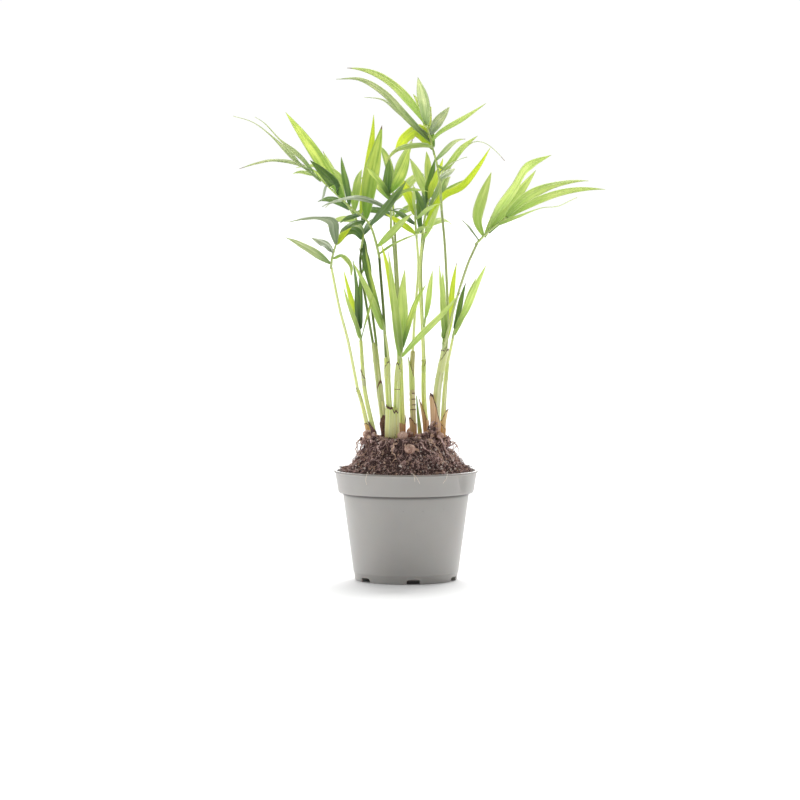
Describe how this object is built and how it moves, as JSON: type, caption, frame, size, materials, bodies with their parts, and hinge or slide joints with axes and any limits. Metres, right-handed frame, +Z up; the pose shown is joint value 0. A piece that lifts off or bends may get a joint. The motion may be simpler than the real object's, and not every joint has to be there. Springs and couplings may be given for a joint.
{
  "type": "potted parlour palm",
  "caption": "Clump of young parlour palm seedlings with slender stalks and narrow leaflets, standing in a small round grey nursery pot.",
  "frame": {"origin": "centre of the pot's flat underside, where the potted plant stands", "axes": "+Z up along the stems, -Y towards the front of the clump, +X to its right, towards the longest spreading frond"},
  "size_m": [0.1526, 0.1122, 0.2133],
  "materials": {
    "pot_plastic": "thin moulded grey plastic with a satin sheen",
    "peat": "damp dark brown peat and fine roots with white specks of perlite",
    "seed_husk": "dull tan-brown seed husk",
    "stem_skin": "smooth pale yellow-green young stem with papery brown sheaths at the foot",
    "stalk_skin": "smooth olive-green stalk",
    "leaf_skin": "thin satin leaf, lime to dark green, with fine parallel veins"
  },
  "bodies": {
    "root": {"pot": "pot_plastic", "root_bed": "peat", "seed_left": "seed_husk", "seed_front": "seed_husk", "seed_middle": "seed_husk", "seed_right": "seed_husk", "seed_back": "seed_husk", "stem_1": "stem_skin", "stem_2": "stem_skin", "stem_3": "stem_skin", "stem_4_collar": "stem_skin", "stem_4_left": "stem_skin", "stem_4_right": "stem_skin", "stem_5": "stem_skin", "stem_6_spear": "stem_skin", "stem_7": "stem_skin", "stem_8": "stem_skin", "stem_9": "stem_skin", "stem_10": "stem_skin", "stalk_low_left": "stalk_skin", "stalk_arch_left": "stalk_skin", "stalk_back_left": "stalk_skin", "stalk_low_middle": "stalk_skin", "stalk_big_left": "stalk_skin", "stalk_centre": "stalk_skin", "stalk_fan_front": "stalk_skin", "stalk_fan_middle": "stalk_skin", "stalk_back_right": "stalk_skin", "stalk_tall": "stalk_skin", "stalk_right": "stalk_skin", "stalk_low_right": "stalk_skin", "stalk_back_middle": "stalk_skin", "frond_low_left": "leaf_skin", "frond_arch_left": "leaf_skin", "frond_folded_left": "leaf_skin", "frond_low_middle": "leaf_skin", "frond_big_left": "leaf_skin", "frond_centre": "leaf_skin", "frond_low_centre": "leaf_skin", "frond_fan_front": "leaf_skin", "frond_fan_middle": "leaf_skin", "leaf_thin_right": "leaf_skin", "frond_tall": "leaf_skin", "frond_right": "leaf_skin", "frond_spear_right": "leaf_skin", "frond_low_right": "leaf_skin", "frond_back_middle": "leaf_skin", "frond_back_left": "leaf_skin", "frond_back_right": "leaf_skin"}
  },
  "joints": []
}
